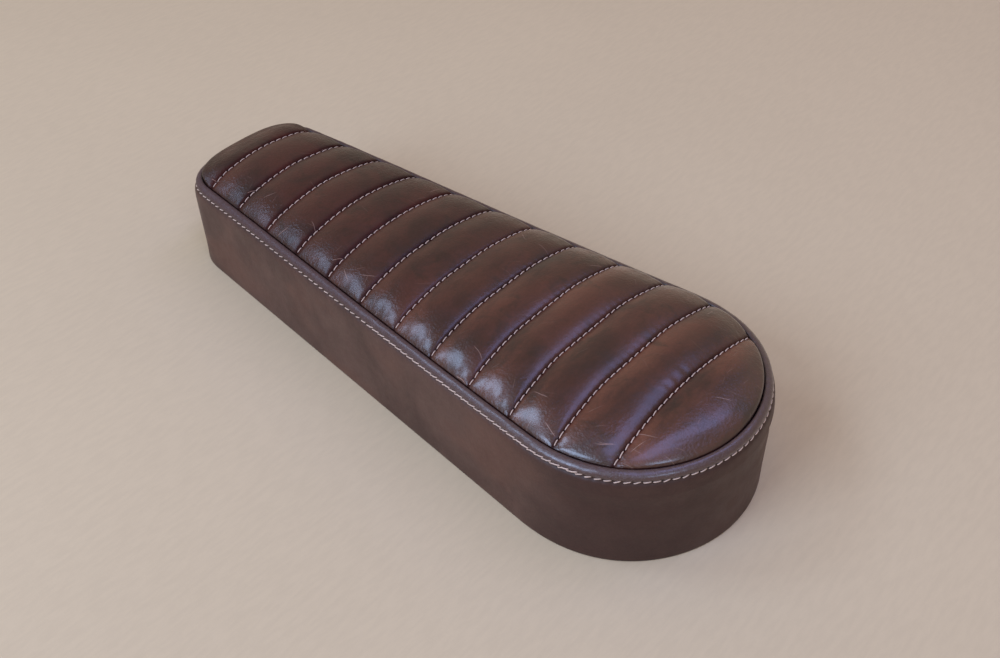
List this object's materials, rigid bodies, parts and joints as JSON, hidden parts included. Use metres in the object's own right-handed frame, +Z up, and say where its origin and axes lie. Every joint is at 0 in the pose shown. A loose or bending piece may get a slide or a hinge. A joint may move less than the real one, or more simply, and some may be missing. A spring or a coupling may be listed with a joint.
{
  "type": "motorcycle seat",
  "caption": "Solo motorcycle seat with a cross-pleated brown leather cover and stitched sides, foam filled, on a steel pan with studs.",
  "frame": {"origin": "under the middle of the seat's length and width, on the plane that its bottom edge stands on", "axes": "+Y points forward along the seat to its narrow end, +X to the rider's right, +Z up"},
  "size_m": [0.1852, 0.4924, 0.0932],
  "materials": {
    "pan": "satin black paint",
    "trim_rubber": "matt",
    "strap_steel": "zinc plated",
    "zinc_steel": "zinc plated",
    "buffer_rubber": "matt",
    "firm_foam": "open-cell foam",
    "soft_foam": "open-cell foam",
    "film": "thin film",
    "backing": "woven cloth",
    "quilting_foam": "open-cell foam",
    "top_leather": "semi-gloss, mottled brown",
    "side_leather": "satin, mottled grey-brown",
    "liner_foam": "open-cell foam",
    "tape": "woven cotton",
    "thread": "waxed thread, pale beige",
    "rivet_metal": "satin"
  },
  "bodies": {
    "root": {"seat_pan": "pan", "rim_edge_trim": "trim_rubber", "front_cross_strap": "strap_steel", "rear_cross_strap": "strap_steel", "mounting_studs": "zinc_steel", "strap_screws": "zinc_steel", "strap_washers": "zinc_steel", "clinch_nuts": "zinc_steel", "rubber_buffers": "buffer_rubber", "base_foam": "firm_foam", "comfort_foam": "soft_foam", "moisture_film": "film", "backing_cloth": "backing", "pleat_padding": "quilting_foam", "top_panel": "top_leather", "side_panel": "side_leather", "side_liner": "liner_foam", "seam_stay_tape": "tape", "pleat_stitching": "thread", "perimeter_topstitch": "thread", "seam_stitch": "thread", "front_joint_stitch": "thread", "hem_rivets": "rivet_metal", "hem_washers": "rivet_metal"}
  },
  "joints": []
}
